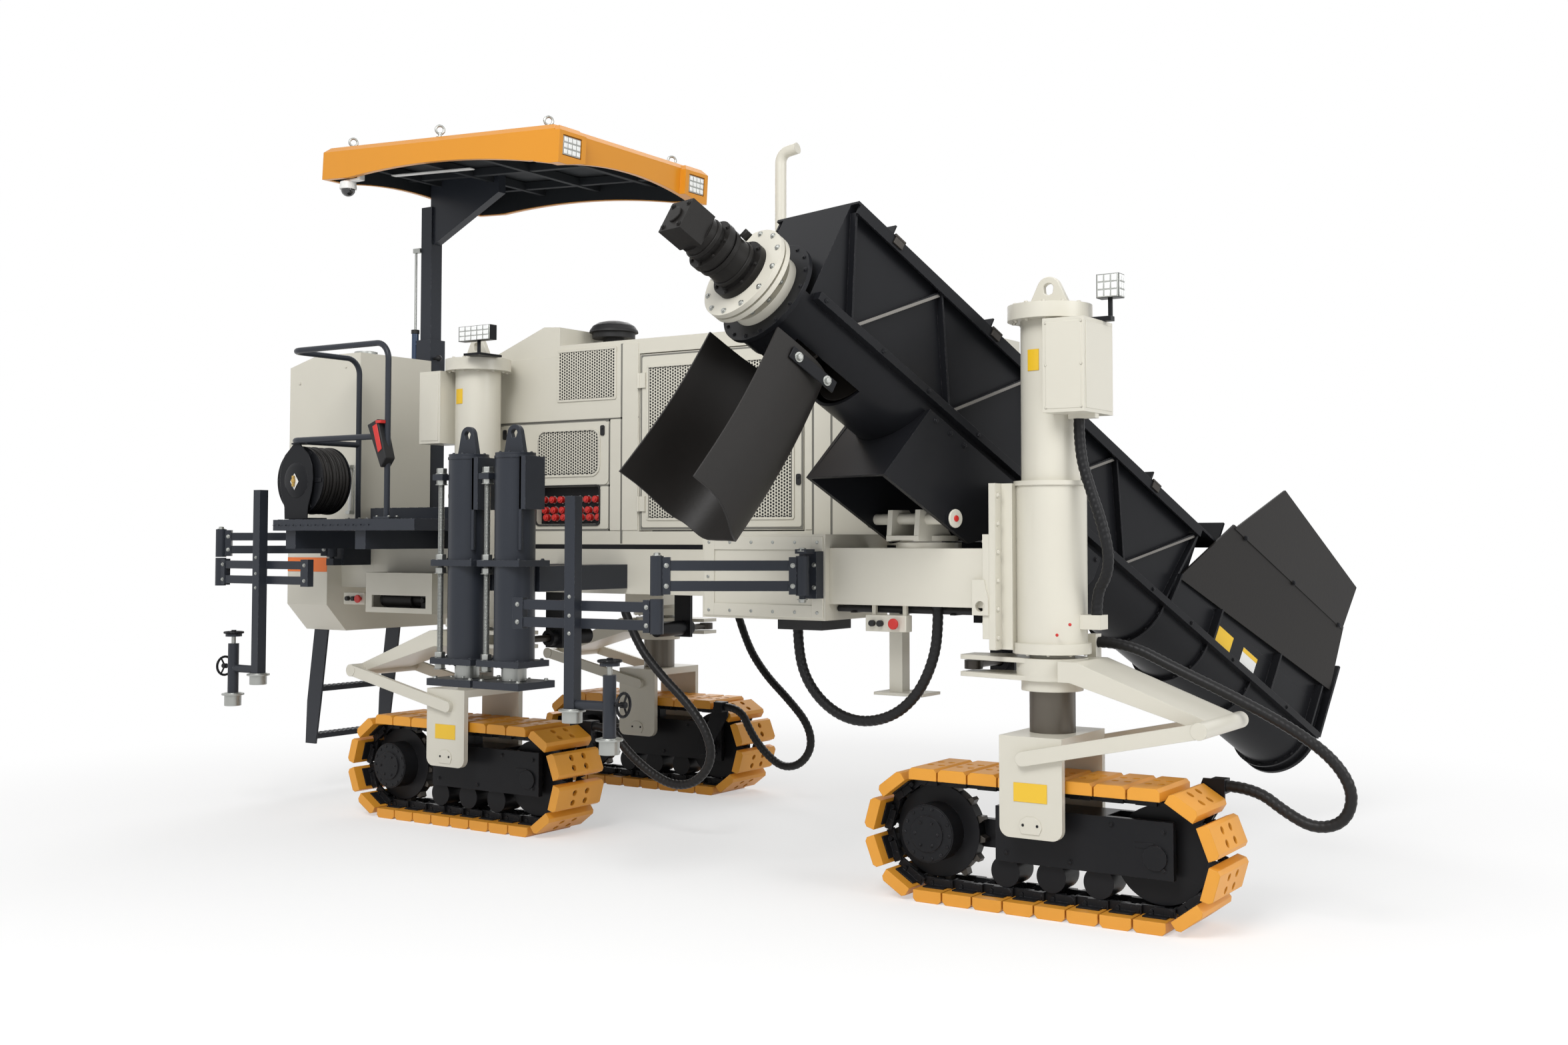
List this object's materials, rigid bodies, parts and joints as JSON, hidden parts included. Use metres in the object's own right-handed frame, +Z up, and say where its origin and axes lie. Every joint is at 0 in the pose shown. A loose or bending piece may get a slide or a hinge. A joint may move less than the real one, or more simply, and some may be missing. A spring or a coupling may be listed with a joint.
{
  "type": "slipform paver",
  "caption": "Slipform paver for kerbs and barriers on steerable tracks, with a slewing screw conveyor, engine housing, canopy, water tank and lifting columns for the mould.",
  "frame": {"origin": "middle of the machine's bounding box, on the ground", "axes": "+X forwards along the machine, +Y to its left, +Z up"},
  "size_m": [6.3574, 4.2572, 3.8578],
  "materials": {
    "paint_cream": "satin enamel, worn",
    "paint_charcoal": "satin enamel",
    "paint_black": "satin enamel",
    "paint_blue": "satin enamel",
    "plastic_amber": "gloss shell",
    "pad_amber": "moulded pads on a dark chain",
    "rubber_brown": "matt sheet",
    "greasy_steel": "greased bar",
    "galvanised": "zinc coated",
    "cast_dark": "cast block",
    "hose_black": "spiral wrapped hose"
  },
  "bodies": {
    "frame": {"air_intake": "paint_black", "canopy_cylinder": "paint_blue", "coupling_panel": "paint_charcoal", "engine_block": "cast_dark", "exhaust_stack": "paint_cream", "front_arm": "paint_cream", "hand_rail": "paint_charcoal", "hood_shell": "paint_cream", "hood_sill": "paint_black", "hose_arm_loop": "hose_black", "hose_leg_valve": "hose_black", "ladder": "paint_charcoal", "leg_columns": "paint_cream", "lift_columns": "paint_charcoal", "main_frame": "paint_cream", "mast_guide": "paint_charcoal", "platform_deck": "paint_charcoal", "sensor_brackets": "paint_charcoal", "steer_cylinders": "paint_black", "tank_bracket": "paint_cream", "water_tank": "paint_cream", "work_lamps": "paint_black"},
    "auger_turn": {"auger_turntable": "paint_cream"},
    "auger_boom": {"auger_trough": "paint_black", "auger_cradle": "paint_black", "auger_bearing": "paint_cream", "auger_motor": "cast_dark", "auger_chute": "rubber_brown", "auger_hopper": "rubber_brown"},
    "auger_screw": {"auger_screw": "greasy_steel"},
    "mould_lift_front": {"lift_rod_front": "galvanised"},
    "mould_lift_rear": {"lift_rod_rear": "galvanised"},
    "door_near": {"hood_door_near": "paint_cream"},
    "door_far": {"hood_door_far": "paint_cream"},
    "canopy": {"canopy_shell": "plastic_amber", "canopy_mast": "paint_charcoal", "canopy_cylinder_rod": "galvanised"},
    "reel": {"reel_drum": "paint_black"},
    "sensor_inner_front": {"sensor_link_front": "paint_charcoal"},
    "sensor_outer_front": {"sensor_post_front": "paint_charcoal"},
    "sensor_inner_rear": {"sensor_link_rear": "paint_charcoal"},
    "sensor_outer_rear": {"sensor_post_rear": "paint_charcoal"},
    "steer_front": {"track_belt_front": "pad_amber", "track_frame_front": "paint_black", "yoke_front": "paint_cream", "torque_link_front": "paint_cream", "hose_front_track": "hose_black"},
    "steer_rod_front": {"steer_rod_front": "greasy_steel"},
    "steer_rear_near": {"track_belt_rear_near": "pad_amber", "track_frame_rear_near": "paint_black", "yoke_rear_near": "paint_cream", "torque_link_rear_near": "paint_cream", "hose_near_track": "hose_black"},
    "steer_rod_rear_near": {"steer_rod_rear_near": "greasy_steel"},
    "steer_rear_far": {"track_belt_rear_far": "pad_amber", "track_frame_rear_far": "paint_black", "yoke_rear_far": "paint_cream", "torque_link_rear_far": "paint_cream", "hose_far_track": "hose_black"},
    "steer_rod_rear_far": {"steer_rod_rear_far": "greasy_steel"}
  },
  "joints": [
    {"name": "steer_front", "type": "hinge", "parent": "frame", "child": "steer_front", "pos_m": [2.194, -0.724, 1], "axis": [0, 0, 1], "range_deg": [-25, 25]},
    {"name": "steer_rear_near", "type": "hinge", "parent": "frame", "child": "steer_rear_near", "pos_m": [-1.331, -0.544, 1], "axis": [0, 0, 1], "range_deg": [-15, 15]},
    {"name": "steer_rear_far", "type": "hinge", "parent": "frame", "child": "steer_rear_far", "pos_m": [-1.331, 1.086, 1], "axis": [0, 0, 1], "range_deg": [-15, 15]},
    {"name": "steer_cylinder_front", "type": "slide", "parent": "frame", "child": "steer_rod_front", "axis": [0, 1, 0], "range_m": [-0.18, 0.18]},
    {"name": "steer_cylinder_rear_near", "type": "slide", "parent": "frame", "child": "steer_rod_rear_near", "axis": [0, 1, 0], "range_m": [-0.11, 0.11]},
    {"name": "steer_cylinder_rear_far", "type": "slide", "parent": "frame", "child": "steer_rod_rear_far", "axis": [0, 1, 0], "range_m": [-0.11, 0.11]},
    {"name": "auger_slew", "type": "hinge", "parent": "frame", "child": "auger_turn", "pos_m": [1.616, -0.744, 1.55], "axis": [0, 0, 1], "range_deg": [-6, 10]},
    {"name": "auger_luff", "type": "hinge", "parent": "auger_turn", "child": "auger_boom", "pos_m": [1.58729, -0.84286, 1.64248], "axis": [-0.9603, 0.279, 0], "range_deg": [-10, 2]},
    {"name": "auger_spin", "type": "hinge", "parent": "auger_boom", "child": "auger_screw", "pos_m": [1.616, -0.744, 2.028], "axis": [0.2426, 0.835, -0.4939], "continuous": true},
    {"name": "mould_lift_front", "type": "slide", "parent": "frame", "child": "mould_lift_front", "axis": [0, 0, 1], "range_m": [-0.35, 0.03]},
    {"name": "mould_lift_rear", "type": "slide", "parent": "frame", "child": "mould_lift_rear", "axis": [0, 0, 1], "range_m": [-0.35, 0.03]},
    {"name": "door_near", "type": "hinge", "parent": "frame", "child": "door_near", "pos_m": [-0.344, -0.358, 2.07], "axis": [0, 0, -1], "range_deg": [0, 75]},
    {"name": "door_far", "type": "hinge", "parent": "frame", "child": "door_far", "pos_m": [-0.344, 0.9, 2.07], "axis": [0, 0, 1], "range_deg": [0, 75]},
    {"name": "canopy_lift", "type": "slide", "parent": "frame", "child": "canopy", "axis": [0, 0, 1], "range_m": [-0.48, 0]},
    {"name": "reel_spin", "type": "hinge", "parent": "frame", "child": "reel", "pos_m": [-2.186, -0.954, 1.88], "axis": [0, 1, 0], "continuous": true},
    {"name": "sensor_inner_front", "type": "hinge", "parent": "frame", "child": "sensor_inner_front", "pos_m": [1.144, -1.044, 1.4], "axis": [0, 0, 1], "range_deg": [-10, 10]},
    {"name": "sensor_outer_front", "type": "hinge", "parent": "sensor_inner_front", "child": "sensor_outer_front", "pos_m": [0.604, -1.394, 1.3], "axis": [0, 0, 1], "range_deg": [-5, 10]},
    {"name": "sensor_inner_rear", "type": "hinge", "parent": "frame", "child": "sensor_inner_rear", "pos_m": [-2.396, -0.644, 1.5], "axis": [0, 0, 1], "range_deg": [-10, 10]},
    {"name": "sensor_outer_rear", "type": "hinge", "parent": "sensor_inner_rear", "child": "sensor_outer_rear", "pos_m": [-2.876, -1.044, 1.4], "axis": [0, 0, 1], "range_deg": [-10, 10]}
  ],
  "couplings": [
    {"joint": "steer_cylinder_front", "follows": "steer_front", "m_per_rad": -0.4},
    {"joint": "steer_cylinder_rear_near", "follows": "steer_rear_near", "m_per_rad": 0.4},
    {"joint": "steer_cylinder_rear_far", "follows": "steer_rear_far", "m_per_rad": 0.4}
  ]
}
